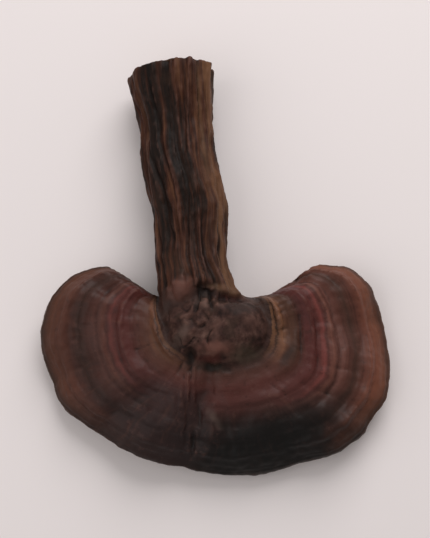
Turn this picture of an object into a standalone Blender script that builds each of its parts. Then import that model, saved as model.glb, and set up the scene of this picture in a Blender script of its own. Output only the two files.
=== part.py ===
"""A dried reishi mushroom, cut from its wood and lying on its pore side.

It grew as one woody body. A fluted stem swells into a knotted boss and fans out into a kidney-shaped cap with
growth ledges, radial folds and a blunt, wavy margin. +Y runs along the stem to its cut end, and +Z is up.
"""

import math

import bmesh
import bpy
from mathutils import Vector, noise

MM = 0.001

# How finely the body is faceted
TOP_COLUMNS = 64
BOTTOM_COLUMNS = 32
STEM_STATIONS = 15

# The margin and the edge of the boss, seen from above, in millimetres from the middle of the boss. Both
# run from the left notch round the front to the right notch.
MARGIN_POINTS = (
    (-10.6, 6.8), (-18.0, 12.0), (-26.4, 9.8), (-31.0, -0.5), (-28.5, -11.5), (-20.0, -19.5), (-9.0, -24.4),
    (2.5, -26.4), (14.5, -25.2), (25.5, -21.4), (32.2, -14.6), (33.8, -5.0), (32.4, 4.6), (27.6, 11.4),
    (20.4, 12.4), (14.2, 7.9), (8.8, 6.2),
)
BOSS_POINTS = (
    (-9.0, 6.4), (-8.6, 2.0), (-6.2, -3.8), (0.0, -7.0), (6.0, -7.2), (10.4, -4.4), (11.5, 0.4), (10.0, 4.6),
    (7.4, 6.2),
)
MARGIN_RADIUS = 2.6 * MM
RIM_HEIGHT = 2.6 * MM

# How far the margin curls up off the surface below, by the place along it, from -1 at the left notch to 1
MARGIN_LIFT = (
    (-1.0, 1.0 * MM), (-0.78, 3.8 * MM), (-0.5, 0.0), (-0.22, 2.2 * MM), (0.02, 0.0),
    (0.3, 2.4 * MM), (0.56, 0.0), (0.82, 4.4 * MM), (1.0, 1.5 * MM),
)

# Heights of the cap's two faces by growth: -1 at the stem's foot, 0 at the boss's edge and 1 at the margin
CAP_TOP = (
    (-1.0, 11.6 * MM), (0.0, 11.0 * MM), (0.3, 10.4 * MM), (0.6, 8.8 * MM), (0.8, 6.8 * MM), (1.0, 4.6 * MM),
)
PORE_FACE = (
    (-1.0, 3.0 * MM), (0.0, 2.6 * MM), (0.62, 0.1 * MM), (0.7, -0.4 * MM), (0.93, -0.4 * MM), (1.0, 0.2 * MM),
)

# Growth ledges round the boss: the growth at each crest, and its height
LEDGES = (
    (0.07, 1.2 * MM), (0.21, 0.5 * MM), (0.35, 1.0 * MM), (0.52, 0.8 * MM), (0.67, 0.45 * MM),
    (0.82, 1.0 * MM),
)
LEDGE_INNER_SLOPE = 0.055
LEDGE_OUTER_SLOPE = 0.024
LEDGE_WANDER = 0.045
LEDGE_SHARE_IN_FRONT = 0.4
FULL_LEDGE_LENGTH = 14.0 * MM

# Radial folds: place along the margin, depth, width along the margin, and the growth at which each begins
FOLDS = (
    (-0.80, 1.4 * MM, 0.050, 0.10), (-0.52, 1.0 * MM, 0.040, 0.30), (-0.33, 1.5 * MM, 0.045, 0.05),
    (-0.12, 2.0 * MM, 0.040, -0.15), (0.15, 0.9 * MM, 0.035, 0.35), (0.36, 1.3 * MM, 0.045, 0.25),
    (0.60, 1.0 * MM, 0.040, 0.30), (0.79, 1.4 * MM, 0.050, 0.10),
)
FOLD_PULLS_MARGIN_IN = 0.035
WRINKLE_DEPTH = 0.45 * MM
LUMP_HEIGHT = 0.8 * MM
LUMP_SIZE = 6.5 * MM

# The knotted boss on the cap's root, with a crease between it and the stem
BOSS_CENTRE = (2.0, -0.8)
BOSS_HALF_SIZE = (9.4, 6.6)
BOSS_HEIGHT = 3.4 * MM
CREASE_PLACE = (2.6, 5.0)
CREASE_HALF_SIZE = (5.5, 1.1)
CREASE_DEPTH = 2.6 * MM

# The boss's knots, in millimetres: x and y of each, its radius and its height
KNOTS = (
    (-0.6, 3.2, 1.4, 1.7), (5.4, 1.9, 2.6, 1.5), (9.0, -0.4, 1.8, 1.0), (-4.8, 1.6, 2.2, 1.3),
    (1.2, -0.9, 1.9, 0.9), (-3.6, -3.2, 2.1, 1.2), (1.6, -4.4, 2.1, 1.1), (6.6, -3.6, 2.3, 1.4),
)

# The stem, by the share of the way from its cut end to its foot
STEM_FOOT_Y = 6.5 * MM
STEM_LENGTH = 44.0 * MM
STEM_HALF_WIDTH = (
    (0.0, 8.2 * MM), (0.28, 6.9 * MM), (0.55, 7.2 * MM), (0.8, 6.6 * MM), (0.93, 6.7 * MM), (1.0, 7.2 * MM),
)
STEM_HALF_HEIGHT = ((0.0, 7.2 * MM), (0.3, 6.0 * MM), (0.6, 6.2 * MM), (0.82, 5.5 * MM), (1.0, 6.0 * MM))
STEM_CLEARANCE = ((0.0, -0.3 * MM), (0.2, -0.1 * MM), (0.6, 1.4 * MM), (1.0, 3.0 * MM))
STEM_BEND = ((0.0, -7.0 * MM), (0.35, -5.6 * MM), (0.7, -3.2 * MM), (0.85, -3.0 * MM), (1.0, -1.7 * MM))
STEM_SIDE_ANGLE = math.radians(118)
FLUTE_DEPTH = 0.085
FLUTE_COUNTS = (11, 17, 7)
CUT_SLANT = 0.12
CUT_BEVEL = 0.6 * MM

BARK_BROWN = (0.045, 0.020, 0.014, 1.0)


def smoothstep(low, high, value):
    """0 below low, 1 above high, and a smooth rise between."""
    t = min(max((value - low) / (high - low), 0.0), 1.0)
    return t * t * (3 - 2 * t)


def along(table, place):
    """The value at a place in a table of (place, value), eased from each row to the next."""
    for (low, first), (high, second) in zip(table, table[1:]):
        if place <= high:
            return first + (second - first) * smoothstep(low, high, place)
    return table[-1][1]


def even_curve(corners, count):
    """Count points, evenly spaced, on the smooth curve through corners given in millimetres."""
    corners = [Vector(corner) * MM for corner in corners]
    ends = [2 * corners[0] - corners[1], *corners, 2 * corners[-1] - corners[-2]]
    steps = 24
    fine = []
    for a, b, c, d in zip(ends, ends[1:], ends[2:], ends[3:]):
        for i in range(steps):
            t = i / steps
            fine.append(0.5 * (2 * b + (c - a) * t + (2 * a - 5 * b + 4 * c - d) * t ** 2
                               + (3 * b - a - 3 * c + d) * t ** 3))
    fine.append(corners[-1])
    reach = [0.0]
    for a, b in zip(fine, fine[1:]):
        reach.append(reach[-1] + (b - a).length)
    found, i = [], 0
    for n in range(count):
        target = reach[-1] * n / (count - 1)
        while i < len(fine) - 2 and reach[i + 1] < target:
            i += 1
        found.append(fine[i].lerp(fine[i + 1], (target - reach[i]) / (reach[i + 1] - reach[i])))
    return found


def rounding(distance, radius):
    """0 at an edge and 1 from radius inwards, as a quarter circle."""
    t = min(max(distance / radius, 0.0), 1.0)
    return math.sqrt(1 - (1 - t) ** 2)


def flute(angle, share):
    """The stem's ridges: a factor on its radius, which twists and wanders a little along it."""
    twist = 0.5 * share
    waves = sum(abs(math.sin(0.5 * n * (angle + twist) + n)) for n in FLUTE_COUNTS) / len(FLUTE_COUNTS)
    knots = noise.noise(Vector((2.2 * math.cos(angle), 2.2 * math.sin(angle), 5.5 * share)))
    return 1 + FLUTE_DEPTH * (waves - 0.6) * 2 + 0.07 * knots


def stem_point(angle, share):
    """A point of the stem's bark. Angle 0 is the stem's top, and share runs from the cut end to the foot."""
    width, height = along(STEM_HALF_WIDTH, share), along(STEM_HALF_HEIGHT, share)
    swell = flute(angle, share)
    x = along(STEM_BEND, share) + width * swell * math.sin(angle)
    z = height + along(STEM_CLEARANCE, share) + height * swell * math.cos(angle)
    y = STEM_FOOT_Y + STEM_LENGTH * (1 - share) + CUT_SLANT * x * smoothstep(0.4, 0.0, share)
    return Vector((x, y, max(z, 0.0)))


def stem_ring(share):
    """One station of the stem: its top row and its bottom row, both from the left side to the right."""
    top = [stem_point(STEM_SIDE_ANGLE * (2 * j / TOP_COLUMNS - 1), share) for j in range(TOP_COLUMNS + 1)]
    step = 2 * (math.pi - STEM_SIDE_ANGLE) / BOTTOM_COLUMNS
    bottom = [stem_point(-STEM_SIDE_ANGLE - step * j, share) for j in range(BOTTOM_COLUMNS + 1)]
    return top, bottom


def fold_depth(place, growth):
    """How deep the radial folds are at a place along the margin and a growth."""
    return sum(depth * math.exp(-((place - at) / width) ** 2) * smoothstep(start, start + 0.5, growth)
               for at, depth, width, start in FOLDS)


def ledge_height(place, growth):
    """The growth ledges: each rises slowly from the boss's side and drops steeply towards the margin."""
    height = 0.0
    for n, (crest, rise) in enumerate(LEDGES):
        slope = LEDGE_INNER_SLOPE if growth < crest else LEDGE_OUTER_SLOPE
        strength = max(0.9 + 1.1 * noise.noise(Vector((3.0 * place, 7.3 * n, 0.5))), 0.1)
        height += rise * strength * math.exp(-((growth - crest) / slope) ** 2)
    beside_the_front = smoothstep(0.15, 0.5, abs(place))
    return height * (LEDGE_SHARE_IN_FRONT + (1 - LEDGE_SHARE_IN_FRONT) * beside_the_front)


def reach_from(point, centre, half_size):
    """How far a point is from the centre of an oval given in millimetres, where 1 is the oval's edge."""
    across = (point.x / MM - centre[0]) / half_size[0]
    along_stem = (point.y / MM - centre[1]) / half_size[1]
    return math.hypot(across, along_stem)


def boss_height(point):
    """The mound on the cap's root, its knots and the crease behind it."""
    mound = smoothstep(1.12, 0.5, reach_from(point, BOSS_CENTRE, BOSS_HALF_SIZE))
    crease = math.exp(-reach_from(point, CREASE_PLACE, CREASE_HALF_SIZE) ** 2)
    knots = sum(height * MM * math.exp(-reach_from(point, (x, y), (radius, radius)) ** 2)
                for x, y, radius, height in KNOTS)
    return BOSS_HEIGHT * mound + knots - CREASE_DEPTH * crease


class Column:
    """One line of growth seen from above: from the stem's foot, over the boss's edge, to the margin."""

    def __init__(self, start, boss_edge, margin, place):
        self.start = start
        self.boss_edge = boss_edge
        self.margin = margin
        self.place = place
        self.length = (margin - boss_edge).length

    def point(self, growth):
        if growth <= 0:
            return Vector((self.start.x, self.start.y)).lerp(self.boss_edge, growth + 1)
        wander = LEDGE_WANDER * noise.noise(Vector((4.0 * self.place, 2.0, 0.0))) * math.sin(math.pi * growth)
        folded = sum(math.exp(-((self.place - at) / (1.3 * width)) ** 2) for at, _, width, _ in FOLDS)
        pull = 1 - FOLD_PULLS_MARGIN_IN * folded * growth ** 2
        return self.boss_edge.lerp(self.margin, (growth + wander) * pull)

    def settled(self, point):
        """0 at the stem's foot, and 1 where the stem no longer shapes the cap."""
        return smoothstep(0.0, 5.5 * MM, (point - Vector((self.start.x, self.start.y))).length)

    def rim(self):
        """The column's end, halfway up the margin's thickness."""
        point = self.point(1.0)
        height = RIM_HEIGHT + along(MARGIN_LIFT, self.place)
        return Vector((point.x, point.y, self.start.z + (height - self.start.z) * self.settled(point)))

    def face(self, growth, outline, is_top):
        """The column's point on the top or on the pore face."""
        point = self.point(growth)
        height = along(CAP_TOP if is_top else PORE_FACE, growth)
        if is_top:
            out = max(growth, 0.0)
            lumps = LUMP_HEIGHT * noise.noise(Vector((point.x, point.y, 0.02)) / LUMP_SIZE)
            wrinkles = WRINKLE_DEPTH * noise.noise(Vector((15.0 * self.place, 1.5 * growth, 3.0)))
            ledges = ledge_height(self.place, growth) * min(self.length / FULL_LEDGE_LENGTH, 1.0)
            height += boss_height(point) + ledges + lumps + out * wrinkles - fold_depth(self.place, growth)
        full = rounding(edge_distance(point, outline), MARGIN_RADIUS)
        lift = along(MARGIN_LIFT, self.place) * max(growth, 0.0) ** 1.5
        height = RIM_HEIGHT + (height - RIM_HEIGHT) * full + lift
        z = self.start.z + (height - self.start.z) * self.settled(point)
        return Vector((point.x, point.y, max(z, 0.0)))


def edge_distance(point, outline):
    """How far a point is from the outline, seen from above."""
    nearest = math.inf
    for a, b in zip(outline, outline[1:]):
        share = min(max((point - a).dot(b - a) / (b - a).length_squared, 0.0), 1.0)
        nearest = min(nearest, (point - a.lerp(b, share)).length)
    return nearest


def cap_columns(first, boss_edge, margin):
    """A column for each point of the stem's foot. The pore side has one for every second margin point."""
    step = TOP_COLUMNS // (len(first) - 1)
    return [Column(start, boss_edge[step * j], margin[step * j], 2 * j / (len(first) - 1) - 1)
            for j, start in enumerate(first)]


def growth_rings():
    """The growths at which the cap has a ring: over the boss, at each ledge, and round the margin."""
    rings = [-0.94, -0.88, -0.8, -0.7, -0.58, -0.44, -0.3, -0.15, 0.0]
    for crest, _ in LEDGES:
        rings += [crest - 0.045, crest, crest + 0.035]
    return rings + [0.895, 0.93, 0.957, 0.978, 0.992]


def bark_faces(mesh, upper, lower):
    """Joins the rows of two neighbouring stations. The rows share their first and last points."""
    for (top, bottom), (next_top, next_bottom) in zip(zip(upper, lower), zip(upper[1:], lower[1:])):
        for j in range(len(top) - 1):
            mesh.faces.new((top[j], next_top[j], next_top[j + 1], top[j + 1]))
        for j in range(len(bottom) - 1):
            mesh.faces.new((bottom[j], bottom[j + 1], next_bottom[j + 1], next_bottom[j]))


def rim_faces(mesh, top, bottom, rim):
    """Closes the margin: the rim line has a point for each top column, and two for each bottom column."""
    for j in range(len(rim) - 1):
        mesh.faces.new((top[j], rim[j], rim[j + 1], top[j + 1]))
    for j in range(len(bottom) - 1):
        left, middle, right = rim[2 * j], rim[2 * j + 1], rim[2 * j + 2]
        mesh.faces.new((bottom[j], middle, left))
        mesh.faces.new((bottom[j], bottom[j + 1], middle))
        mesh.faces.new((bottom[j + 1], right, middle))


def cut_face(mesh, ring):
    """The flat cut at the stem's end, a little smaller than the bark round it."""
    centre = sum((v.co for v in ring), Vector()) / len(ring)
    outer = [mesh.verts.new(centre + (v.co - centre) * (1 - CUT_BEVEL / (v.co - centre).length)
                            + Vector((0, CUT_BEVEL, 0))) for v in ring]
    middle = mesh.verts.new(sum((v.co for v in outer), Vector()) / len(outer))
    for i, (vert, edge) in enumerate(zip(ring, outer)):
        following = (i + 1) % len(ring)
        mesh.faces.new((edge, vert, ring[following], outer[following]))
        mesh.faces.new((middle, edge, outer[following]))


def mushroom_mesh():
    """The whole body as one closed mesh, from the cut end to the margin."""
    stations = [stem_ring(n / STEM_STATIONS) for n in range(STEM_STATIONS + 1)]
    margin = even_curve(MARGIN_POINTS, TOP_COLUMNS + 1)
    boss_edge = even_curve(BOSS_POINTS, TOP_COLUMNS + 1)
    top_columns, pore_columns = (cap_columns(row, boss_edge, margin) for row in stations[-1])
    rim_row = [column.rim() for column in top_columns]
    outline = [Vector((p.x, p.y)) for p in (top_columns[0].start, *rim_row, top_columns[-1].start)]
    for growth in growth_rings():
        stations.append(([column.face(growth, outline, True) for column in top_columns],
                         [column.face(growth, outline, False) for column in pore_columns]))

    mesh = bmesh.new()
    upper = [[mesh.verts.new(p) for p in top] for top, _ in stations]
    lower = [[row[0], *(mesh.verts.new(p) for p in bottom[1:-1]), row[-1]]
             for row, (_, bottom) in zip(upper, stations)]
    rim = [mesh.verts.new(p) for p in rim_row]
    bark_faces(mesh, upper, lower)
    rim_faces(mesh, upper[-1], lower[-1], rim)
    cut_face(mesh, upper[0] + lower[0][-2:0:-1])
    bmesh.ops.recalc_face_normals(mesh, faces=mesh.faces)
    return mesh


def centre_on_base(mesh):
    """Puts the origin at the middle of the bottom of the body's box."""
    points = [v.co for v in mesh.verts]
    lowest = Vector(min(p[i] for p in points) for i in range(3))
    highest = Vector(max(p[i] for p in points) for i in range(3))
    middle = (lowest + highest) / 2
    bmesh.ops.translate(mesh, verts=mesh.verts, vec=-Vector((middle.x, middle.y, lowest.z)))


def bark_material():
    """The dark, satin crust of the dried mushroom."""
    material = bpy.data.materials.new("bark")
    material.use_nodes = True
    shader = material.node_tree.nodes["Principled BSDF"]
    shader.inputs["Base Color"].default_value = BARK_BROWN
    shader.inputs["Roughness"].default_value = 0.45
    shader.inputs["Metallic"].default_value = 0.0
    return material


def main():
    for old in list(bpy.data.objects):
        bpy.data.objects.remove(old)
    mesh = mushroom_mesh()
    centre_on_base(mesh)
    data = bpy.data.meshes.new("reishi_mushroom")
    mesh.to_mesh(data)
    mesh.free()
    data.materials.append(bark_material())
    data.shade_smooth()
    mushroom = bpy.data.objects.new("reishi_mushroom", data)
    bpy.context.scene.collection.objects.link(mushroom)


main()
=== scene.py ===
"""A dried reishi mushroom on its pore side, seen from above, on a pale floor under soft studio light."""

import math

import bpy
import numpy as np
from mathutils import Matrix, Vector, kdtree, noise


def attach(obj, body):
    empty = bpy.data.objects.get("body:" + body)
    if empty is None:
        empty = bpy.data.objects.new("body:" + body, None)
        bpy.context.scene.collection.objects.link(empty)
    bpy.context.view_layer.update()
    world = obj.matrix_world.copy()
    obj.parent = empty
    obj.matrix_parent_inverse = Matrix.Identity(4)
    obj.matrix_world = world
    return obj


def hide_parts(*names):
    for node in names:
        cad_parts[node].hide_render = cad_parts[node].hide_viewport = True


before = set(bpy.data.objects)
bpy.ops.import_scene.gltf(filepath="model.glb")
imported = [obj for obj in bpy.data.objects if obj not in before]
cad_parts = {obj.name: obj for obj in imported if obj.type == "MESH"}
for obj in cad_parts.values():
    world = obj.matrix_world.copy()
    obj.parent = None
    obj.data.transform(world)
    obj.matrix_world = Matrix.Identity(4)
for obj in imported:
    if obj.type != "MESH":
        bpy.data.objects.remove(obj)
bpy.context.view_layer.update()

MM = 0.001
SOLID = "reishi_mushroom"

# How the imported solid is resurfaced: its triangles become quads, which are rounded and cut into even ones
MERGE_DISTANCE = 1e-6
QUAD_MAKING_ANGLE = math.radians(60)
SHARP_EDGE_ANGLE = math.radians(65)
SHARP_EDGE_CREASE = 0.8
ROUNDING_LEVELS = 2
QUAD_SIZE = 0.315 * MM
SOFTENING_FACTOR = 0.5
SOFTENING_PASSES = 5

# The middle of the boss, in millimetres from the frame's origin. The places below are in millimetres from
# it, seen from above, and the two outlines run from the left notch round the front to the right notch.
BOSS_MIDDLE = (-1.3825, -12.3992)
MARGIN_POINTS = (
    (-10.6, 6.8), (-18.0, 12.0), (-26.4, 9.8), (-31.0, -0.5), (-28.5, -11.5), (-20.0, -19.5), (-9.0, -24.4),
    (2.5, -26.4), (14.5, -25.2), (25.5, -21.4), (32.2, -14.6), (33.8, -5.0), (32.4, 4.6), (27.6, 11.4),
    (20.4, 12.4), (14.2, 7.9), (8.8, 6.2),
)
BOSS_POINTS = (
    (-9.0, 6.4), (-8.6, 2.0), (-6.2, -3.8), (0.0, -7.0), (6.0, -7.2), (10.4, -4.4), (11.5, 0.4),
    (10.0, 4.6), (7.4, 6.2),
)
CURVE_STEPS = 24
BOSS_CENTRE = (2.0, -0.8)
BOSS_HALF_SIZE = (9.4, 6.6)
TONGUE_CENTRE = (6.3, -0.7)
TONGUE_HALF_SIZE = (4.7, 5.4)
FIBRE_FAN_CENTRE = (-1.0, 13.0)

# The net of growth lines. Growth is -1 at the stem's foot, 0 at the boss's edge and 1 at the margin. A
# place along the margin is -1 at the left notch, 0 about the front and 1 at the right notch.
NET_GROWTHS = np.linspace(-0.6, 1.08, 85)
NET_PLACES = np.linspace(-1, 1, 257)
# The furthest that a point is taken to lie from the net's nearest knot
NET_GROWTH_STEP = 0.02
NET_PLACE_STEP = 0.01
# The least area that a unit of growth by a unit of place may cover, where growth lines run together
LEAST_NET_AREA = 1.0
GROWTH_EASING_PASSES = 40

# Folds that pull the margin in: the place along the margin, and the half width
FOLDS = (
    (-0.80, 0.050), (-0.52, 0.040), (-0.33, 0.045), (-0.12, 0.040), (0.15, 0.035), (0.36, 0.045),
    (0.60, 0.040), (0.79, 0.050),
)
FOLD_SPREAD = 1.3
FOLD_PULLS_MARGIN_IN = 0.035

# Ledges, by growth, and the groove beyond each crest
LEDGE_WANDER = 0.045
LEDGE_CRESTS = (0.07, 0.21, 0.35, 0.52, 0.67, 0.82, 0.95, 1.03)
GROOVE_BEYOND_CREST = 0.042
GROOVE_HALF_WIDTH = 0.017

# The margin's lip starts where the surface is turned so far from level. Growth goes on from there, by so
# much for each radian that it turns further, up to the widest turn.
LIP_START = 0.7
LIP_WIDEST_TURN = 1.7
LIP_GROWTH = 0.11

# The stem. Its bend and the height of its middle go by the share of the way from its cut end to its foot.
STEM_FOOT_Y = 6.5
STEM_LENGTH = 44.0
STEM_BEND = ((0.0, -7.0), (0.35, -5.6), (0.7, -3.2), (0.85, -3.0), (1.0, -1.7))
STEM_AXIS_HEIGHT = ((0.0, 6.9), (0.3, 6.0), (0.6, 7.6), (1.0, 9.0))
STEM_FOOT_HALF_WIDTH = 7.2
STEM_RADIUS = 7.0
CUT_HALF_SIZE = (8.2, 7.0)
CUT_MIDDLE_HEIGHT = 7.0

# Where one region fades into the next: the value with none of the region, then the value with all of it.
# By y and beside are in millimetres, by reach is in half sizes of the boss, and by share is of the way from
# the stem's cut end to its foot. What faces up or down goes by the normal's part along +Z, and what faces
# back by its part along +Y.
STEM_FADES_BY_Y = (4.4, 7.4)
STEM_FADES_BESIDE = (9.4, 8.0)
BOSS_FADES_BY_REACH = (1.22, 0.80)
BOSS_FACES_UP = (-0.2, 0.3)
CUT_FADES_BY_SHARE = (0.06, 0.02)
CUT_FACES_BACK = (0.6, 0.85)
PORES_FACE_DOWN = (-0.70, -0.80)
CAP_FADES_BY_GROWTH = (-0.1, 0.03)
LIP_FADES_BY_GROWTH = (0.86, 0.98)

# Thin creases that run straight down the front of the cap: how far right of the boss's middle, and depth
FRONT_CREASES = ((-5.1, 0.20), (-3.9, 0.28), (-2.7, 0.42), (-1.6, 0.24))
FRONT_CREASE_HALF_WIDTH = 0.38

# Pits, knobs and stains on and near the boss, with painted shade in its pits, gaps and creases: stain, x,
# y, half length, half width, turn in degrees, and height. They lie on the upper side alone, above a height
# over the floor.
MARKS = (
    ("soot", -0.8, 5.7, 2.1, 1.6, 0, -1.2),
    ("soot", -3.0, -6.2, 1.7, 0.8, 80, -0.50),
    ("moss", 1.0, -7.8, 2.6, 0.8, -6, -0.55),
    ("olive", 6.7, -5.4, 2.7, 1.4, 8, -0.10),
    ("dusk", 5.4, 2.3, 2.4, 1.5, -10, 0.0),
    ("dusk", 14.4, -5.4, 2.5, 0.9, 56, 0.0),
    ("horn", -0.6, 3.5, 1.3, 0.9, 75, 0.40),
    ("soot", -1.9, 3.0, 1.1, 0.35, 75, -0.30),
    ("soot", 0.8, 3.2, 1.1, 0.35, 105, -0.30),
    ("horn", 10.5, 4.4, 1.5, 0.40, -59, 0.10),
    ("rose", 1.7, -4.6, 3.0, 1.1, -5, 0.30),
    ("horn", 1.3, -16.6, 2.0, 0.6, -55, 0.0),
    ("horn", -4.4, -2.0, 2.0, 0.9, 65, 0.15),
    ("rose", -4.8, 6.0, 2.2, 1.8, 30, 0.50),
    ("straw", 3.7, 6.3, 2.8, 0.8, -4, 0.15),
    ("rust", 4.5, 4.9, 2.4, 0.45, 8, -0.40),
    ("rust", 0.8, -6.2, 2.2, 0.8, 0, 0.15),
)
MARKS_LOWEST_Z = 6.0

# Colours are written as on a paint card, with two hexadecimal digits each for red, green and blue
# The near-black first colour is painted shade, laid in pits, gaps and creases
STAINS = {
    "soot": "0e0a08", "moss": "1f1c15", "olive": "473b30", "dusk": "2c211e", "horn": "58453e",
    "rose": "68433a", "straw": "60432f", "rust": "45201b",
}

# The cap's colours by growth: in bands beside the boss, and more even in front, where from about half way
# out they darken to near black as painted shade. They end with the lip.
BAND_COLOURS = (
    (0.00, "33211b"), (0.012, "745037"), (0.035, "704b35"), (0.045, "2a1e16"), (0.06, "664533"),
    (0.10, "77503a"), (0.135, "523325"), (0.21, "40271d"), (0.29, "4a221f"), (0.41, "502622"),
    (0.44, "6b3530"), (0.47, "4a2722"), (0.50, "643c32"), (0.54, "4d2c25"), (0.565, "603b33"),
    (0.62, "4e2c24"), (0.69, "402820"), (0.76, "532f26"), (0.82, "693c2e"), (0.92, "6b3f2e"),
    (1.00, "452b21"), (1.10, "563a29"), (1.25, "70523a"),
)
FRONT_COLOURS_AND_SHADE = (
    (0.00, "36221d"), (0.08, "4b2e27"), (0.20, "4e2924"), (0.35, "4b2925"), (0.47, "38201c"),
    (0.60, "1e110f"), (0.80, "140c0a"), (1.00, "1c120d"), (1.12, "332218"), (1.25, "5c432f"),
)
LAST_GROWTH = 1.25

# The other colours, dark to light, by the noise that they follow
STRIPE_COLOURS = ((0.37, "110805"), (0.45, "1e0f08"), (0.54, "3a1d12"), (0.64, "563623"))
KNOT_COLOURS = ((0.33, "1b100e"), (0.44, "33201c"), (0.56, "462f29"), (0.71, "664b42"))
PORE_COLOURS = ((0.33, "553b29"), (0.45, "775941"), (0.58, "927252"), (0.75, "a88a63"))
FLESH_COLOURS = ((0.32, "3f2919"), (0.5, "614530"), (0.7, "7e5f42"))

# Tints over those colours, for the cap, the stem, the boss, the pore side and the flesh, and last what
# wear adds, what darkens the creases and dips, and the painted shade on the cap's front
LEFT_FRONT, NOTCH, THREAD, STREAK = "2d1e1d", "40251c", "23130f", "5e3c31"
PALE_MOTTLE, DARK_MOTTLE = "60413a", "22120e"
# The stem's third tint is a straw-coloured painted highlight on its right side
STEM_SHADE, STEM_PALE, STEM_PAINTED_HIGHLIGHT = "190d08", "5c3f30", "6e4c35"
BOSS_SHADE, OLIVE_PATCH, MAUVE_PATCH = "1c1411", "2c2119", "5c3f37"
PORES_BY_THE_STEM, PINHOLE, PALE_RIM = "5a3f2b", "3a281b", "9a7a52"
RIND = "2e1c12"
# The first darkens the narrow creases, the third the broad dips, and the last is painted shade that turns
# the cap's front nearly black
CREASE_DARKENING, RUBBED_CREST, DARK_DIP, PAINTED_FRONT_SHADE = "140a07", "6b4a40", "150d0b", "0c0b0a"

# How far apart the lumps of each pattern are
BLOTCH_SIZE = 6 * MM
MOTTLE_SIZE = 1.3 * MM
WEATHER_SIZE = 9 * MM
KNOT_SIZE = 2.3 * MM
PATCH_SIZE = 3.4 * MM
BRUISE_SIZE = 11 * MM
PINHOLE_SIZE = 0.3 * MM
FLESH_FIBRE_SIZE = 1.5 * MM

# How the crust takes the light
BARE_ROUGHNESS = 0.66
LACQUER_SMOOTHS = 0.17
PORES_ROUGHEN = 0.2
LACQUER_COAT = 0.11
COAT_ROUGHNESS = 0.45
SPECULAR_LEVEL = 0.12
BUMP_STRENGTH = 0.7
BUMP_HEIGHT = 1 * MM

# What the finish reads at each point of the crust, besides its stains. Hollows are narrow creases and dips
# are broad ones, each measured from a surface that is smoothed in so many passes.
SURFACE_LAYERS = ("growth", "place", "around", "core", "stem", "boss", "pores", "cut", "hollow", "dip")
HOLLOW_PASSES = 6
DIP_PASSES = 60

# The Mix node's sockets for colours share their names with its others, so they go by number
MIX_AMOUNT, MIX_UNDER, MIX_OVER, MIX_RESULT = 0, 6, 7, 2

# The studio, in metres, with the camera's lens and sensor in millimetres
FLOOR_SIZE = 3.0
FLOOR_COLOUR = (0.80, 0.73, 0.725, 1.0)
SKY_COLOUR = (1.0, 0.99, 0.97, 1.0)
SKY_STRENGTH = 0.40
LIGHTS_AIM = (0.0, 0.0, 0.005)
CAMERA_AIM = (0.0, -0.001, 0.006)
CAMERA_ELEVATION = math.radians(78)
CAMERA_DISTANCE = 0.235
CAMERA_LENS = 85
CAMERA_SENSOR_HEIGHT = 36
CAMERA_CLIP_START = 0.01


def deselect_all():
    if bpy.context.object and bpy.context.object.mode != "OBJECT":
        bpy.ops.object.mode_set(mode="OBJECT")
    bpy.ops.object.select_all(action="DESELECT")


def take(piece):
    deselect_all()
    piece.select_set(True)
    bpy.context.view_layer.objects.active = piece


def modify(piece, name, kind, **settings):
    """Adds a modifier to the active piece and applies it."""
    modifier = piece.modifiers.new(name, kind)
    for setting, value in settings.items():
        setattr(modifier, setting, value)
    bpy.ops.object.modifier_apply(modifier=modifier.name)


def rise(low, high, value):
    """0 below low, 1 above high and smooth between, or the other way round where low is above high."""
    t = np.clip((value - low) / (high - low), 0.0, 1.0)
    return t * t * (3 - 2 * t)


def eased(table, places):
    """The values at places in a table of (place, value), eased from each row to the next."""
    value = np.full(len(places), float(table[0][1]))
    for (low, first), (high, second) in zip(table, table[1:]):
        value += (second - first) * rise(low, high, places)
    return value


def grain(x, y, z=0.0):
    """Smooth noise from about -1 to 1, one unit from lump to lump, at arrays of places."""
    points = np.column_stack(np.broadcast_arrays(x, y, z)).tolist()
    return np.array([noise.noise(point) for point in points])


def crease(x, y, z, sharpness):
    """Thin lines that wander where smooth noise crosses zero: 1 on a line and 0 away from it."""
    return np.clip(1 - sharpness * np.abs(grain(x, y, z)), 0.0, 1.0)


def even_curve(corners, count):
    """Count points, evenly spaced, on the smooth curve through the corners."""
    corners = np.array(corners)
    before, after = 2 * corners[0] - corners[1], 2 * corners[-1] - corners[-2]
    guides = np.vstack([before, corners, after])
    t = np.linspace(0, 1, CURVE_STEPS, endpoint=False)[:, None]
    spans = []
    for a, b, c, d in zip(guides, guides[1:], guides[2:], guides[3:]):
        bend, twist = 2 * a - 5 * b + 4 * c - d, 3 * b - a - 3 * c + d
        spans.append(0.5 * (2 * b + (c - a) * t + bend * t ** 2 + twist * t ** 3))
    fine = np.vstack([*spans, corners[-1:]])
    reach = np.concatenate([[0], np.cumsum(np.linalg.norm(np.diff(fine, axis=0), axis=1))])
    targets = np.linspace(0, reach[-1], count)
    return np.column_stack([np.interp(targets, reach, fine[:, axis]) for axis in (0, 1)])


def vectors_of(items, field):
    """One field of a mesh's points or normals, in rows of three."""
    found = np.empty(len(items) * 3, np.float32)
    items.foreach_get(field, found)
    return found.reshape(-1, 3).astype(float)


def points_of(mesh):
    return vectors_of(mesh.vertices, "co")


def normals_of(mesh):
    return vectors_of(mesh.vertex_normals, "vector")


def eased_over(mesh, values, passes):
    """Values at the mesh's points, each moved towards the mean of its neighbours in so many passes."""
    edges = np.empty(len(mesh.edges) * 2, np.int32)
    mesh.edges.foreach_get("vertices", edges)
    first, second = edges.reshape(-1, 2).T
    count = len(mesh.vertices)
    neighbours = np.bincount(edges, minlength=count)
    for _ in range(passes):
        totals = [np.bincount(first, column[second], count) + np.bincount(second, column[first], count)
                  for column in values.T]
        values = 0.5 * values + 0.5 * (np.array(totals) / neighbours).T
    return values


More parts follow.
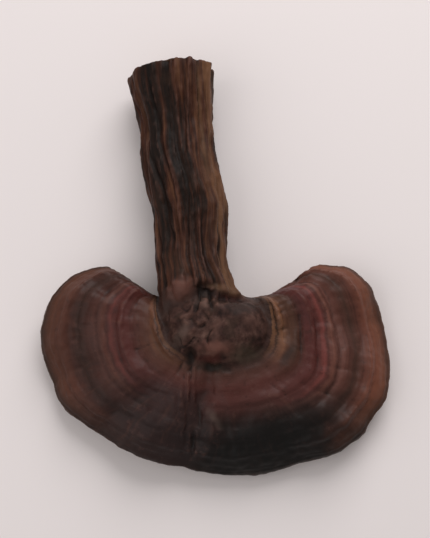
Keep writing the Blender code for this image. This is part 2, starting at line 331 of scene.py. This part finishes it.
def resurfaced_solid():
    """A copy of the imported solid, its facets rounded, in even quads small enough to carve."""
    take(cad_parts[SOLID])
    bpy.ops.object.duplicate()
    crust = bpy.context.object
    crust.name = "reishi_crust"
    bpy.ops.object.mode_set(mode="EDIT")
    bpy.ops.mesh.select_all(action="SELECT")
    bpy.ops.mesh.remove_doubles(threshold=MERGE_DISTANCE)
    bpy.ops.mesh.tris_convert_to_quads(face_threshold=QUAD_MAKING_ANGLE, shape_threshold=QUAD_MAKING_ANGLE)
    bpy.ops.mesh.select_all(action="DESELECT")
    bpy.ops.mesh.select_mode(type="EDGE")
    bpy.ops.mesh.edges_select_sharp(sharpness=SHARP_EDGE_ANGLE)
    bpy.ops.transform.edge_crease(value=SHARP_EDGE_CREASE)
    bpy.ops.object.mode_set(mode="OBJECT")
    modify(crust, "round_facets", "SUBSURF", levels=ROUNDING_LEVELS, render_levels=ROUNDING_LEVELS)
    modify(crust, "even_quads", "REMESH", mode="VOXEL", voxel_size=QUAD_SIZE)
    modify(crust, "soften_facets", "SMOOTH", factor=SOFTENING_FACTOR, iterations=SOFTENING_PASSES)
    return crust


def growth_net():
    """Where the net's growths and places lie, seen from above: a row of points for each growth."""
    boss_edge = even_curve(BOSS_POINTS, len(NET_PLACES))
    margin = even_curve(MARGIN_POINTS, len(NET_PLACES))
    foot_x = STEM_BEND[-1][1] + STEM_FOOT_HALF_WIDTH * NET_PLACES
    foot = np.column_stack([foot_x, np.full(len(NET_PLACES), STEM_FOOT_Y)])
    wander = LEDGE_WANDER * grain(4.0 * NET_PLACES, 2.0)
    folded = sum(np.exp(-((NET_PLACES - at) / (FOLD_SPREAD * width)) ** 2) for at, width in FOLDS)
    rows = []
    for growth in NET_GROWTHS:
        if growth <= 0:
            rows.append(foot + (boss_edge - foot) * (growth + 1))
            continue
        pulled_in = FOLD_PULLS_MARGIN_IN * folded * growth ** 2
        reach = (growth + wander * math.sin(math.pi * growth)) * (1 - pulled_in)
        rows.append(boss_edge + (margin - boss_edge) * reach[:, None])
    return np.array(rows)


def grown_at(x, y):
    """The growth, and the place along the margin, of points seen from above."""
    net = growth_net()
    per_growth = np.gradient(net, NET_GROWTHS, axis=0).reshape(-1, 2)
    per_place = np.gradient(net, NET_PLACES, axis=1).reshape(-1, 2)
    knots = net.reshape(-1, 2)
    tree = kdtree.KDTree(len(knots))
    for i, knot in enumerate(knots.tolist()):
        tree.insert((*knot, 0.0), i)
    tree.balance()
    nearest = np.array([tree.find((*point, 0.0))[1] for point in zip(x.tolist(), y.tolist())])
    off_x, off_y = x - knots[nearest, 0], y - knots[nearest, 1]
    (growth_x, growth_y), (place_x, place_y) = per_growth[nearest].T, per_place[nearest].T
    area = growth_x * place_y - growth_y * place_x
    area = np.where(np.abs(area) < LEAST_NET_AREA, np.copysign(LEAST_NET_AREA, area), area)
    growth_step = np.clip((off_x * place_y - off_y * place_x) / area, -NET_GROWTH_STEP, NET_GROWTH_STEP)
    place_step = np.clip((growth_x * off_y - growth_y * off_x) / area, -NET_PLACE_STEP, NET_PLACE_STEP)
    row, column = np.divmod(nearest, len(NET_PLACES))
    return NET_GROWTHS[row] + growth_step, NET_PLACES[column] + place_step


def spots_of(points, normals):
    """What each point of the crust belongs to, by name. Shares are 0 to 1, and lengths are millimetres."""
    x = points[:, 0] / MM - BOSS_MIDDLE[0]
    y = points[:, 1] / MM - BOSS_MIDDLE[1]
    z = points[:, 2] / MM
    share = 1 - (y - STEM_FOOT_Y) / STEM_LENGTH
    beside = x - eased(STEM_BEND, share)
    growth, place = grown_at(x, y)
    turned = np.clip(np.arccos(np.clip(normals[:, 2], -1, 1)) - LIP_START, 0, LIP_WIDEST_TURN)
    over_the_lip = LIP_GROWTH * turned * rise(*LIP_FADES_BY_GROWTH, growth)
    ragged = 0.9 * grain(x / 1.7, y / 1.7, 4.0)
    stem = rise(*STEM_FADES_BY_Y, y + ragged) * rise(*STEM_FADES_BESIDE, np.abs(beside))
    boss_x, boss_y = (x - BOSS_CENTRE[0]) / BOSS_HALF_SIZE[0], (y - BOSS_CENTRE[1]) / BOSS_HALF_SIZE[1]
    boss_reach = np.hypot(boss_x, boss_y)
    boss = rise(*BOSS_FADES_BY_REACH, boss_reach + 0.10 * ragged) * rise(*BOSS_FACES_UP, normals[:, 2])
    cut = rise(*CUT_FACES_BACK, normals[:, 1]) * rise(*CUT_FADES_BY_SHARE, share)
    edge_wave = 0.10 * grain(x / 2.2, y / 2.2, 8.0)
    pores = rise(*PORES_FACE_DOWN, normals[:, 2] + edge_wave) * (1 - stem)
    return {
        "x": x, "y": y, "z": z, "growth": growth + over_the_lip, "place": place,
        "around": np.arctan2(beside, z - eased(STEM_AXIS_HEIGHT, share)),
        "core": np.hypot(beside / CUT_HALF_SIZE[0], (z - CUT_MIDDLE_HEIGHT) / CUT_HALF_SIZE[1]),
        "stem": stem * (1 - cut), "cut": cut, "pores": pores * (1 - cut), "boss": boss * (1 - stem),
        "cap": rise(*CAP_FADES_BY_GROWTH, growth) * (1 - stem) * (1 - pores),
    }


def mark_shares(spots):
    """How much of each mark lies at each spot, one array for each mark."""
    ragged = 0.4 * grain(spots["x"] / 1.1, spots["y"] / 1.1, 31.0)
    on_top = spots["z"] > MARKS_LOWEST_Z
    shares = []
    for _, x, y, half_length, half_width, turn, _ in MARKS:
        cos, sin = math.cos(math.radians(turn)), math.sin(math.radians(turn))
        across, up = spots["x"] - x, spots["y"] - y
        reach = np.hypot((across * cos + up * sin) / half_length, (up * cos - across * sin) / half_width)
        shares.append(rise(1.6, 0.2, reach + ragged) * on_top)
    return shares


# The functions of the relief, from here to carve, work in millimetres. Where they call grain, a length is
# divided by the size of the lumps, a growth or a place is multiplied by how many lumps a unit of it has,
# and a plain last number keeps one pattern apart from the others.
def ledge_grooves(growth, place):
    """The groove beyond each ledge's crest, deep in some places and gone in others."""
    grooves = 0.0
    for n, crest in enumerate(LEDGE_CRESTS):
        depth = np.clip(0.14 + 0.34 * grain(3.0 * place, 3.1 * n, 3.0), 0, 1)
        beyond = growth - crest - GROOVE_BEYOND_CREST
        grooves = grooves + depth * np.exp(-(beyond / GROOVE_HALF_WIDTH) ** 2)
    return grooves


def front_creases(x, y):
    """The thin creases in front of the boss, which wander and come and go as they run down the cap."""
    creases = 0.0
    for across, depth in FRONT_CREASES:
        wander = 1.1 * grain(y / 7.0, 3 * across, 28.0) + 0.35 * grain(y / 2.0, 3 * across, 29.0)
        strength = depth * rise(-0.35, 0.15, grain(y / 6.0, 5 * across, 30.0)) * rise(-5.5, -7.5, y)
        creases = creases + strength * np.exp(-((x - across - wander) / FRONT_CREASE_HALF_WIDTH) ** 2)
    return creases


def cap_relief(spots):
    """Growth rings, the groove beyond each ledge, and soft radial wrinkles that come and go."""
    x, y = spots["x"], spots["y"]
    growth = spots["growth"] + 0.022 * grain(x / 6.0, y / 6.0, 21.0) + 0.007 * grain(x / 1.7, y / 1.7, 22.0)
    place = spots["place"] + 0.020 * grain(x / 5.0, y / 5.0, 23.0) + 0.006 * grain(x / 1.5, y / 1.5, 24.0)
    beside = rise(0.15, 0.5, np.abs(place))
    before_the_lip = rise(0.97, 0.80, growth)
    ringed = rise(-0.35, 0.30, grain(x / 8.0, y / 8.0, 25.0))
    roughened = grain(x / 7.0, y / 7.0, 26.0) + 0.35 * rise(-0.25, -0.55, place)
    wrinkled = rise(-0.25, 0.40, roughened) * rise(0.0, 0.3, growth) * before_the_lip
    rings = 0.15 * grain(17 * growth, 1.8 * place, 1.0) + 0.09 * ringed * grain(40 * growth, 5 * place, 2.0)
    wrinkles = 0.16 * grain(19 * place, 2.2 * growth, 5.0) + 0.07 * grain(44 * place, 4.0 * growth, 6.0)
    lip = 0.20 * grain(24 * growth, 2.5 * place, 32.0) + 0.16 * grain(30 * place, 2 * growth, 33.0)
    scored = rise(0.05, 0.35, grain(x / 5.0, y / 5.0, 27.0))
    lines = 0.22 * scored * crease(9 * place, 1.8 * growth, 8.0, 8.0) + front_creases(x, y)
    puckers = 0.12 * grain(x / 1.2, y / 1.2, spots["z"] / 1.2) + 0.30 * grain(x / 3.4, y / 3.4, 7.0)
    return (rings * (0.5 + 0.5 * beside) - ledge_grooves(growth, place) * (0.25 + 0.75 * beside)
            + wrinkled * wrinkles - lines * before_the_lip + puckers + lip * rise(0.88, 1.0, growth))


def boss_relief(spots):
    """Knots that flow out of the stem's fibres, with cracks and pits between them, and a rounded tongue."""
    plain_x, plain_y = spots["x"], spots["y"]
    x = plain_x + 0.6 * grain(plain_x / 2.5, plain_y / 2.5, 41.0)
    y = plain_y + 0.6 * grain(plain_x / 2.5, plain_y / 2.5, 42.0)
    beside, ahead = x - FIBRE_FAN_CENTRE[0], FIBRE_FAN_CENTRE[1] - y
    fibres = 0.30 * grain(np.arctan2(beside, ahead) * 12.0, np.hypot(beside, ahead) / 4.0, 2.0)
    knots = 0.55 * grain(x / 2.2, y / 1.8, 1.0) + 0.18 * grain(x / 0.95, y / 0.95, 2.0)
    cracks = 0.50 * rise(-0.2, 0.2, grain(x / 4.0, y / 4.0, 48.0)) * crease(x / 2.4, y / 3.0, 17.0, 5.0)
    cracks = cracks * rise(-7.0, -3.5, y)
    across = (0.6 * plain_x + 0.4 * x - TONGUE_CENTRE[0]) / TONGUE_HALF_SIZE[0]
    up = (0.6 * plain_y + 0.4 * y - TONGUE_CENTRE[1]) / TONGUE_HALF_SIZE[1]
    reach, to_the_right = np.hypot(across, up), rise(-0.5, 0.3, across)
    arcs = 0.14 * grain(7.0 * reach, 1.2 * np.arctan2(up, across), 47.0) * to_the_right
    tongue = 0.45 * rise(1.0, 0.3, reach) + arcs
    groove = 0.38 * np.exp(-((reach - 1.0) / 0.07) ** 2) * to_the_right
    return (fibres + knots - cracks) * (1 - 0.65 * rise(1.05, 0.75, reach)) + tongue - groove


def stem_relief(spots):
    """Long fibres and grooves, broken by small knots."""
    x, length = spots["x"], spots["y"]
    around = spots["around"] * STEM_RADIUS + 0.45 * grain(x / 5.0, length / 8.0, 51.0)
    fibres = 0.34 * grain(around / 1.6, length / 16.0, 1.0) + 0.12 * grain(around / 0.5, length / 4.0, 2.0)
    grooves = 0.50 * crease(around / 2.7, length / 24.0, 3.0, 4.0)
    knots = 0.36 * grain(around / 1.8, length / 3.0, 4.0)
    knots = knots + 0.14 * grain(x / 0.9, length / 1.3, spots["z"] / 0.9)
    return fibres - grooves + knots


def pore_relief(spots):
    """Shrunk in drying: faint growth rings, radial puckers, and a rolled band with no pores by the lip."""
    x, y = spots["x"], spots["y"]
    growth = spots["growth"] + 0.03 * grain(x / 5.0, y / 5.0, 61.0)
    rings = 0.16 * grain(9 * growth, 1.5 * spots["place"], 62.0)
    puckers = 0.16 * grain(15 * spots["place"], 2.0 * growth, 63.0) * rise(0.0, 0.4, growth)
    lumps = 0.20 * grain(x / 4.5, y / 4.5, 3.0) + 0.08 * grain(x / 1.4, y / 1.4, 5.0)
    lumps = lumps + 0.04 * grain(x / 0.7, y / 0.7, 6.0)
    groove = 0.25 * np.exp(-((growth - 1.02) / 0.02) ** 2)
    return rings + puckers + lumps - groove


def cut_relief(spots):
    """The flesh has shrunk a little inside its crust, and shows torn fibres."""
    x, z = spots["x"], spots["z"]
    torn = 0.14 * grain(x / 0.8, z / 0.8, 1.0) + 0.10 * grain(x / 2.5, z / 2.5, 4.0)
    return torn - 0.35


def carve(crust):
    """Moves the surface in and out along its normals, region by region, and returns its spots."""
    points, normals = points_of(crust.data), normals_of(crust.data)
    spots = spots_of(points, normals)
    grown = np.column_stack([spots["growth"], spots["place"]])
    spots["growth"], spots["place"] = eased_over(crust.data, grown, GROWTH_EASING_PASSES).T
    depth = (spots["cap"] * (1 - spots["boss"]) * cap_relief(spots) + spots["boss"] * boss_relief(spots)
             + spots["stem"] * stem_relief(spots) + spots["pores"] * pore_relief(spots)
             + spots["cut"] * cut_relief(spots))
    shares = mark_shares(spots)
    depth = depth + sum(mark[-1] * share for mark, share in zip(MARKS, shares))
    for stain in STAINS:
        spots[stain] = sum(share for mark, share in zip(MARKS, shares) if mark[0] == stain)
    points = points + normals * (depth * MM)[:, None]
    points[:, 2] = np.maximum(points[:, 2], 0.0)
    crust.data.vertices.foreach_set("co", points.ravel())
    crust.data.update()
    return spots


def hollows_of(mesh, passes):
    """How far each point lies below its smoothed surroundings, in millimetres. Crests are below zero."""
    points = points_of(mesh)
    return ((eased_over(mesh, points, passes) - points) * normals_of(mesh)).sum(axis=1) / MM


def keep_on_surface(crust, spots):
    """Stores what the finish reads as attributes of the piece's own points."""
    for name in (*SURFACE_LAYERS, *STAINS):
        layer = crust.data.attributes.new(name, "FLOAT", "POINT")
        layer.data.foreach_set("value", np.ascontiguousarray(spots[name], np.float32))


def linear(code):
    """A paint card's colour as the shader wants it, by the sRGB curve."""
    shades = [int(code[i:i + 2], 16) / 255 for i in (0, 2, 4)]
    return (*(s / 12.92 if s <= 0.04045 else ((s + 0.055) / 1.055) ** 2.4 for s in shades), 1.0)


class Level:
    """A socket of a finish. Arithmetic on it adds the Math nodes."""

    def __init__(self, finish, socket):
        self.finish = finish
        self.socket = socket

    def math(self, operation, *values):
        return self.finish.node("Math", {"operation": operation}, dict(enumerate(values)))

    def __add__(self, other):
        return self.math("ADD", self, other)

    def __sub__(self, other):
        return self.math("SUBTRACT", self, other)

    def __rsub__(self, other):
        return self.math("SUBTRACT", other, self)

    def __mul__(self, other):
        return self.math("MULTIPLY", self, other)

    def __abs__(self):
        return self.math("ABSOLUTE", self)

    __radd__ = __add__
    __rmul__ = __mul__


class Finish:
    """A material being made, node by node."""

    def __init__(self, name):
        self.material = bpy.data.materials.new(name)
        self.material.use_nodes = True
        self.tree = self.material.node_tree
        self.tree.nodes.clear()

    def node(self, kind, settings, sockets, output=0):
        """Adds a node: its settings, a ramp's stops among them, then the values or links of its sockets."""
        node = self.tree.nodes.new("ShaderNode" + kind)
        for name, setting in settings.items():
            if name == "stops":
                self.set_stops(node.color_ramp.elements, setting)
            else:
                setattr(node, name, setting)
        for key, value in sockets.items():
            if isinstance(value, Level):
                self.tree.links.new(value.socket, node.inputs[key])
            else:
                node.inputs[key].default_value = value
        return Level(self, node.outputs[output]) if node.outputs else None

    def set_stops(self, elements, stops):
        """Fills a new ramp, which has two stops to start with."""
        for _ in stops[2:]:
            elements.new(0.5)
        for element, (place, colour) in zip(elements, stops):
            element.position = place
            element.color = colour

    def layer(self, name):
        return self.node("Attribute", {"attribute_name": name}, {}, output="Fac")

    def at(self, x, y, z=0.0):
        return self.node("CombineXYZ", {}, {"X": x, "Y": y, "Z": z})

    def grain(self, place, size, detail=2.0, roughness=0.5):
        """Noise of about 0 to 1, its lumps one size apart."""
        sockets = {"Vector": place, "Scale": 1 / size, "Detail": detail, "Roughness": roughness}
        return self.node("TexNoise", {}, sockets)

    def rise(self, low, high, value):
        settings = {"interpolation_type": "SMOOTHSTEP"}
        return self.node("MapRange", settings, {"Value": value, "From Min": low, "From Max": high})

    def blend(self, amount, under, over):
        sockets = {MIX_AMOUNT: amount, MIX_UNDER: under, MIX_OVER: over}
        return self.node("Mix", {"data_type": "RGBA"}, sockets, output=MIX_RESULT)

    def tint(self, colour, amount, code):
        """The colour with so much of another over it."""
        return self.blend(amount, colour, linear(code))

    def ramp(self, value, stops, reach=1.0):
        """Colours by value. The stops' places run from 0 to reach."""
        settings = {"stops": [(place / reach, linear(code)) for place, code in stops]}
        return self.node("ValToRGB", settings, {"Fac": value * (1 / reach)})


class Crust(Finish):
    """The mushroom's finish, with the layers that its surface carries and patterns that its parts share."""

    def __init__(self):
        super().__init__("reishi_bark")
        for name in SURFACE_LAYERS:
            setattr(self, name, self.layer(name))
        self.here = self.node("TexCoord", {}, {}, output="Object")
        self.length = self.node("SeparateXYZ", {}, {"Vector": self.here}, output="Y")
        self.blotches = self.grain(self.here, BLOTCH_SIZE, 3.0)
        self.mottle = self.grain(self.here, MOTTLE_SIZE, 4.0, 0.65)
        # Threads run along the growth lines, streaks across them, and stripes along the stem
        wavy = self.growth + (self.blotches - 0.5) * 0.05
        self.threads = self.grain(self.at(self.place * 4.0, wavy * 42), 1.0, 3.0, 0.6)
        streaked = self.at(self.place * 52 + self.blotches * 3.0, self.growth * 3.0)
        self.streaks = self.grain(streaked, 1.0, 3.0)
        fibrous = self.at(self.around * 13 + self.blotches, self.length * 130)
        fibres = self.grain(fibrous, 1.0, 3.0, 0.6)
        fluted = self.at(self.around * 3.0 + self.blotches * 0.7, self.length * 20, 5.0)
        flutes = self.grain(fluted, 1.0, 1.0)
        self.stripes = fibres * 0.45 + flutes * 0.55

    def cap(self):
        """Growth bands beside the boss, fading into an even red-brown in front of it, darkened towards the
        front margin as painted shade.
        """
        grown = self.growth + (self.blotches - 0.5) * 0.09
        grown = grown + (self.streaks - 0.5) * 0.03 + (self.mottle - 0.5) * 0.03
        banded = self.ramp(grown, BAND_COLOURS, LAST_GROWTH)
        # The front's colours darken towards the margin as painted shade
        even = self.ramp(grown, FRONT_COLOURS_AND_SHADE, LAST_GROWTH)
        next_to_the_boss = self.rise(0.26, 0.06, self.growth)
        right = self.rise(0.16, 0.46, self.place - next_to_the_boss * 0.12)
        beside = right + self.rise(-0.15, -0.50, self.place) * 0.55
        colour = self.blend(beside, even, banded)
        left_front = self.rise(-0.05, -0.14, self.place) * self.rise(-0.50, -0.28, self.place)
        colour = self.tint(colour, left_front * self.rise(0.2, 0.35, self.growth) * 0.75, LEFT_FRONT)
        notches = self.rise(0.86, 0.97, abs(self.place)) * self.rise(0.20, 0.40, self.growth)
        colour = self.tint(colour, notches * 0.75, NOTCH)
        colour = self.tint(colour, self.rise(0.45, 0.75, self.threads) * (beside * 0.20 + 0.12), THREAD)
        colour = self.tint(colour, self.rise(0.50, 0.80, self.streaks) * 0.22, STREAK)
        colour = self.tint(colour, self.rise(0.55, 0.75, self.mottle) * 0.30, PALE_MOTTLE)
        return self.tint(colour, self.rise(0.45, 0.25, self.mottle) * 0.40, DARK_MOTTLE)

    def bark(self):
        """The stem: dark grooves between red-brown ridges, with a straw-coloured painted highlight in
        patches on its right side.
        """
        colour = self.ramp(self.stripes, STRIPE_COLOURS)
        weather = self.grain(self.here, WEATHER_SIZE, 1.0)
        colour = self.tint(colour, self.rise(0.50, 0.36, weather) * 0.25, STEM_SHADE)
        colour = self.tint(colour, self.rise(0.52, 0.66, weather) * 0.12, STEM_PALE)
        # Painted highlight along the stem's right flank, in patches
        right_flank = self.rise(0.55, 0.95, self.around) * self.rise(1.9, 1.4, self.around)
        highlight_patches = self.rise(0.38, 0.60, self.grain(self.at(self.around * 3, self.length * 60), 1.0))
        return self.tint(colour, right_flank * highlight_patches * 0.75, STEM_PAINTED_HIGHLIGHT)

    def knotted(self):
        """The boss: mauve-brown knots, with olive-brown and darker patches between them."""
        knots = self.grain(self.here, KNOT_SIZE, 4.0, 0.6)
        colour = self.ramp(knots, KNOT_COLOURS)
        colour = self.tint(colour, self.rise(0.56, 0.68, self.mottle) * 0.5, BOSS_SHADE)
        patches = self.grain(self.here, PATCH_SIZE, 2.0)
        colour = self.tint(colour, self.rise(0.52, 0.62, patches) * 0.45, OLIVE_PATCH)
        return self.tint(colour, self.rise(0.46, 0.36, patches) * 0.40, MAUVE_PATCH)

    def pore_side(self):
        """Tan in faint rings, bruised in places, with a pinhole at each tube's mouth and a paler rim."""
        bruises = self.grain(self.here, BRUISE_SIZE, 5.0, 0.65) + (self.threads - 0.5) * 0.25
        colour = self.ramp(bruises, PORE_COLOURS)
        colour = self.tint(colour, self.rise(0.3, -0.4, self.growth) * 0.45, PORES_BY_THE_STEM)
        colour = self.tint(colour, self.pinholes() * 0.65, PINHOLE)
        return self.tint(colour, self.rise(0.95, 1.06, self.growth) * 0.7, PALE_RIM)

    def pinholes(self):
        sockets = {"Vector": self.here, "Scale": 1 / PINHOLE_SIZE, "Randomness": 0.7}
        return self.rise(0.42, 0.15, self.node("TexVoronoi", {"feature": "F1"}, sockets))

    def flesh(self):
        """Corky and brown, in faint rings that darken towards the rind."""
        rings = self.grain(self.at(self.core * 7.0 + self.blotches * 2.0, 0.0), 1.0, 2.0)
        fibres = self.grain(self.here, FLESH_FIBRE_SIZE, 4.0, 0.65)
        colour = self.ramp(fibres * 0.8 + rings * 0.2, FLESH_COLOURS)
        return self.tint(colour, self.rise(0.70, 0.95, self.core) * 0.8, RIND)

    def worn_and_shaded(self, colour):
        """Darker in the creases and dips, crests rubbed lighter, and painted shade that turns the cap's
        front nearly black.
        """
        bare = self.pores + self.cut
        # Darker in the narrow creases
        darker_in_creases = self.rise(0.02, 0.22, self.hollow) * (1 - bare * 0.6 - self.stem * 0.35)
        colour = self.tint(colour, darker_in_creases * 0.70, CREASE_DARKENING)
        crests = self.rise(0.03, 0.18, self.hollow * -1.0) * (1 - bare)
        colour = self.tint(colour, crests * 0.40, RUBBED_CREST)
        colour = self.tint(colour, self.rise(0.05, 0.6, self.dip) * (1 - bare) * 0.45, DARK_DIP)
        # Painted shade on the cap's front margin, nearly black, in patches
        front_shade = self.rise(-0.19, -0.02, self.place) * self.rise(0.42, 0.22, self.place)
        front_shade = front_shade * self.rise(0.37, 0.62, self.growth) * self.rise(1.12, 1.0, self.growth)
        front_shade = front_shade * self.rise(0.30, 0.52, self.blotches) * (1 - bare)
        return self.tint(colour, front_shade * 0.75, PAINTED_FRONT_SHADE)


def mushroom_finish():
    """Lacquer in growth bands, a ridged dark stem, a knotted boss, tan pores and a corky cut end."""
    crust = Crust()
    colour = crust.blend(crust.stem, crust.cap(), crust.bark())
    colour = crust.blend(crust.boss * 0.85, colour, crust.knotted())
    # Stains, and the painted shade in the pits, gaps and creases
    for stain, code in STAINS.items():
        colour = crust.tint(colour, crust.layer(stain) * 0.75, code)
    colour = crust.blend(crust.pores, colour, crust.pore_side())
    colour = crust.worn_and_shaded(crust.blend(crust.cut, colour, crust.flesh()))

    lacquered = (1 - crust.stem * 0.7) * (1 - crust.boss * 0.9) * (1 - crust.pores) * (1 - crust.cut)
    roughness = BARE_ROUGHNESS - lacquered * LACQUER_SMOOTHS
    roughness = roughness + (crust.mottle - 0.5) * 0.25 + (crust.blotches - 0.5) * 0.2
    roughness = roughness + crust.pores * PORES_ROUGHEN
    height = (crust.threads * 0.07 + crust.mottle * 0.12 + crust.streaks * 0.04) * (1 - crust.pores)
    height = height + crust.stripes * crust.stem * 0.25 - crust.pinholes() * crust.pores * 0.12
    bump = {"Strength": BUMP_STRENGTH, "Distance": BUMP_HEIGHT, "Height": height}
    shell = crust.node("BsdfPrincipled", {}, {
        "Base Color": colour, "Roughness": roughness, "Normal": crust.node("Bump", {}, bump),
        "Coat Weight": lacquered * LACQUER_COAT, "Coat Roughness": COAT_ROUGHNESS,
        "Specular IOR Level": SPECULAR_LEVEL,
    })
    crust.node("OutputMaterial", {}, {"Surface": shell})
    return crust.material


def build_crust():
    crust = resurfaced_solid()
    spots = carve(crust)
    spots["hollow"] = hollows_of(crust.data, HOLLOW_PASSES)
    spots["dip"] = hollows_of(crust.data, DIP_PASSES)
    keep_on_surface(crust, spots)
    crust.data.materials.clear()
    crust.data.materials.append(mushroom_finish())
    take(crust)
    bpy.ops.object.shade_smooth()
    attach(crust, "root")
    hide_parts(SOLID)


def floor_finish():
    floor = Finish("pale_floor")
    shell = floor.node("BsdfPrincipled", {}, {"Base Color": FLOOR_COLOUR, "Roughness": 0.9})
    floor.node("OutputMaterial", {}, {"Surface": shell})
    return floor.material


def lay_floor():
    deselect_all()
    bpy.ops.mesh.primitive_plane_add(size=FLOOR_SIZE, location=(0, 0, 0))
    floor = bpy.context.object
    floor.name = "floor"
    floor.data.materials.append(floor_finish())


def soft_light(name, place, size, power):
    deselect_all()
    bpy.ops.object.light_add(type="AREA", location=place)
    lamp = bpy.context.object
    lamp.name = name
    lamp.data.shape = "DISK"
    lamp.data.size = size
    lamp.data.energy = power
    lamp.rotation_euler = (Vector(LIGHTS_AIM) - Vector(place)).to_track_quat("-Z", "Y").to_euler()


def light_the_studio():
    soft_light("key", place=(0.10, 0.34, 0.30), size=0.40, power=1.60)
    soft_light("fill", place=(-0.30, -0.10, 0.32), size=0.45, power=0.50)
    world = bpy.data.worlds.new("studio")
    bpy.context.scene.world = world
    world.use_nodes = True
    world.node_tree.nodes["Background"].inputs["Color"].default_value = SKY_COLOUR
    world.node_tree.nodes["Background"].inputs["Strength"].default_value = SKY_STRENGTH
    bpy.context.scene.view_settings.view_transform = "Standard"


def set_camera():
    """Above the cap's front, looking down, with the stem towards the picture's top."""
    away = Vector((0.0, -math.cos(CAMERA_ELEVATION), math.sin(CAMERA_ELEVATION)))
    deselect_all()
    bpy.ops.object.camera_add(location=Vector(CAMERA_AIM) + away * CAMERA_DISTANCE)
    camera = bpy.context.object
    camera.rotation_euler = (-away).to_track_quat("-Z", "Y").to_euler()
    camera.data.sensor_fit = "VERTICAL"
    camera.data.sensor_height = CAMERA_SENSOR_HEIGHT
    camera.data.lens = CAMERA_LENS
    camera.data.clip_start = CAMERA_CLIP_START
    bpy.context.scene.camera = camera


build_crust()
lay_floor()
light_the_studio()
set_camera()
